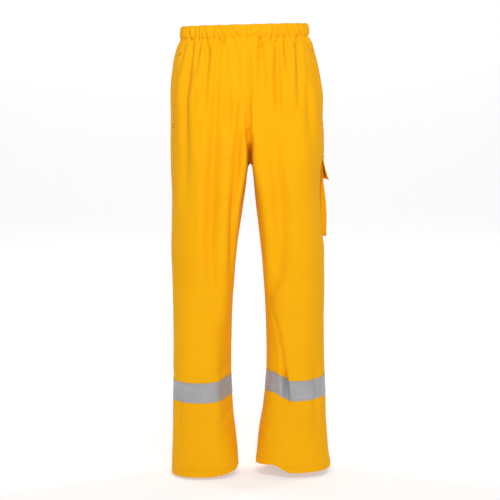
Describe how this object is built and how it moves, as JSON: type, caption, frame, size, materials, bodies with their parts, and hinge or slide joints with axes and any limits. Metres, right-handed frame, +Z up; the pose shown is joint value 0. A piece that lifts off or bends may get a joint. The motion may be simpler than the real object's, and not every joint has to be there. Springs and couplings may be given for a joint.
{
  "type": "bunker pants",
  "caption": "Elastic-waist protective over-trousers with side slit openings, a flapped bellows cargo pocket and reflective bands round both calves.",
  "frame": {"origin": "middle of the part's bounding box in plan, on the plane of the two hems", "axes": "+Z up from the hems to the waist, the front of the trousers faces -Y, the wearer's left is +X"},
  "size_m": [0.4068, 0.262, 1.118],
  "materials": {
    "shell_cloth": "golden-yellow woven flame-resistant cotton, matt",
    "waistband_cloth": "golden-yellow woven flame-resistant cotton, gathered over elastic",
    "facing_cloth": "same cloth, paler where worn and turned",
    "bag_cloth": "plain pocketing, matt",
    "elastic": "white knitted elastic",
    "reflective_tape": "silver-grey glass-bead reflective band with a cloth back",
    "bartack_thread": "dense satin stitches in orange-yellow thread",
    "hook_tape": "moulded hook tape, matt",
    "loop_tape": "brushed loop tape, matt"
  },
  "bodies": {
    "trousers": {"right_front_panel": "shell_cloth", "right_back_panel": "shell_cloth", "left_front_panel": "shell_cloth", "left_back_panel": "shell_cloth", "waistband_casing": "waistband_cloth", "waist_elastic": "elastic", "right_pocket_bag": "bag_cloth", "left_pocket_bag": "bag_cloth", "right_opening_facing": "facing_cloth", "left_opening_facing": "facing_cloth", "right_reflective_tape": "reflective_tape", "left_reflective_tape": "reflective_tape", "right_upper_bartack": "bartack_thread", "right_lower_bartack": "bartack_thread", "left_upper_bartack": "bartack_thread", "left_lower_bartack": "bartack_thread", "cargo_pocket_bellows": "shell_cloth"},
    "pocket_front": {"cargo_pocket_face": "shell_cloth", "front_loop_patch": "loop_tape", "rear_loop_patch": "loop_tape"},
    "flap": {"cargo_flap": "shell_cloth", "front_hook_patch": "hook_tape", "rear_hook_patch": "hook_tape"}
  },
  "joints": [
    {"name": "flap_hinge", "type": "hinge", "parent": "trousers", "child": "flap", "pos_m": [0.18146, 0.04405, 0.791], "axis": [0.251, -0.968, 0], "range_deg": [-2, 150]},
    {"name": "pocket_swell", "type": "hinge", "parent": "trousers", "child": "pocket_front", "pos_m": [0.18252, 0.04433, 0.775], "axis": [0.251, -0.968, 0], "range_deg": [0, 6], "deforming": ["cargo_pocket_bellows"]}
  ]
}
